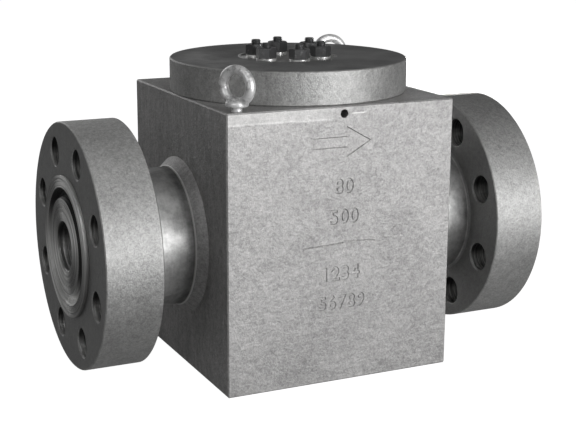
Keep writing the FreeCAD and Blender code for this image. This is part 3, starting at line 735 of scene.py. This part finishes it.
def forged_eye(node, proud, height):
    """The node's ring and collar with their meeting corners rounded, the ring flattened to its height
    in the photograph, and a thread on the part of the shank that stands proud of the block."""
    low, high = (np.array(corner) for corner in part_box(node))
    holder = added("rounding", merged_copy(node))
    fuse = holder.modifiers.new("fuse", "REMESH")
    fuse.mode = "VOXEL"
    fuse.voxel_size = 0.0009
    ease = holder.modifiers.new("ease", "SMOOTH")
    ease.factor = 0.5
    ease.iterations = 6
    rounded = evaluated(holder)
    rounded.shade_smooth()
    collar = high[2] - FLATTENED
    for vertex in rounded.vertices:
        if vertex.co.z > collar:
            vertex.co.z = collar + (vertex.co.z - collar) * height
    if proud:
        bottom = BLOCK[2] + 0.0001
        centre = (low[:2] + high[:2]) / 2
        turns = thread(centre, SHANK_THREAD_R, THREAD_PITCH, bottom, bottom + proud, 0.0003, bottom + 0.0005)
        work = bmesh.new()
        work.from_mesh(rounded)
        work.from_mesh(closed(joined_grids("shank", [turns])))
        work.to_mesh(rounded)
        work.free()
    return rounded


for node, name, proud, height in EYES:
    eye = place(name, forged_eye(node, proud, height), "valve_body", zinc)
    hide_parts(node)


# Camera, light and floor

def camera():
    """Stands where the photograph was taken from."""
    sin, cos, level_share = math.sin(CAMERA_YAW), math.cos(CAMERA_YAW), math.cos(CAMERA_PITCH)
    ahead = Vector((sin * level_share, cos * level_share, math.sin(CAMERA_PITCH)))
    level = Vector((cos, -sin, 0.0))
    upright = level.cross(ahead)
    right = math.cos(CAMERA_ROLL) * level + math.sin(CAMERA_ROLL) * upright
    up = math.cos(CAMERA_ROLL) * upright - math.sin(CAMERA_ROLL) * level
    data = bpy.data.cameras.new("photo_camera")
    data.sensor_width = 36.0
    data.lens = CAMERA_LENS
    data.clip_start, data.clip_end = 0.05, 50.0
    item = added("photo_camera", data)
    turned = Matrix((right, up, -ahead)).transposed().to_4x4()
    item.matrix_world = Matrix.Translation(CAMERA_PLACE) @ turned
    bpy.context.scene.camera = item


LAMP_DISTANCE, VALVE_MIDDLE = 3.0, Vector((0, 0, 0.18))


def lamp(name, direction, size, power):
    """Soft square lamp that looks at the valve's middle from a direction."""
    data = bpy.data.lights.new(name, "AREA")
    data.shape = "SQUARE"
    data.size = size
    data.energy = power
    item = added(name, data)
    aim = Vector(direction).normalized()
    item.location = VALVE_MIDDLE + aim * LAMP_DISTANCE
    item.rotation_mode = "QUATERNION"
    item.rotation_quaternion = aim.to_track_quat("Z", "Y")


# The steel stood in a darker room than its background: metal shows the white at the first share
METAL_SHOWS, ROOM_LIGHT = 0.11, 0.05
WHITE = (1.0, 1.0, 1.0)


def seen(tree):
    """1 for what the camera sees straight or through glass, and less for what metal reflects."""
    path = [tree.node("LightPath", output=name) for name in
            ("Is Camera Ray", "Is Glossy Ray", "Is Transmission Ray")]
    return path[0].at_least(path[1] * METAL_SHOWS).at_least(path[2])


def surroundings():
    """White behind the valve, and a weak even light on it."""
    world = bpy.data.worlds.new("studio")
    bpy.context.scene.world = world
    tree = Tree(world)
    dim = tree.node("Background", None, {"Color": WHITE, "Strength": ROOM_LIGHT})
    white = tree.node("Background", None, {"Color": WHITE, "Strength": 1.0})
    both = tree.node("MixShader", None, {0: seen(tree), 1: dim, 2: white})
    tree.node("OutputWorld", None, (both,))


def floor():
    """White floor, as bright as the background."""
    half = 12.0
    mesh = bpy.data.meshes.new("floor")
    corners = [(-half, -half, 0), (half, -half, 0), (half, half, 0), (-half, half, 0)]
    mesh.from_pydata(corners, [], [(0, 1, 2, 3)])
    material = bpy.data.materials.new("pale_floor")
    tree = Tree(material)
    matt = tree.node("BsdfDiffuse", None, {"Color": (0.22, 0.22, 0.22)})
    glow = tree.node("Emission", None, {"Color": WHITE, "Strength": 1.0})
    lit = tree.node("AddShader", None, (matt, glow))
    both = tree.node("MixShader", None, {0: seen(tree), 1: matt, 2: lit})
    tree.node("OutputMaterial", None, (both,))
    mesh.materials.append(material)
    item = added("floor", mesh)


camera()
lamp("key_lamp", (0.36, -0.93, 0.105), 1.4, 69.0)
lamp("upper_lamp", (0.10, -0.70, 1.0), 1.6, 13.0)
lamp("left_lamp", (-1.0, -0.77, 0.42), 1.0, 7.0)
lamp("high_left_lamp", (-1.0, -0.45, 0.90), 0.7, 3.5)
lamp("back_lamp", (-0.15, 1.0, 0.32), 1.6, 9.0)
lamp("low_back_lamp", (0.60, 0.80, 0.0), 0.36, 34.0)
surroundings()
floor()
bpy.context.scene.view_settings.view_transform = "Standard"
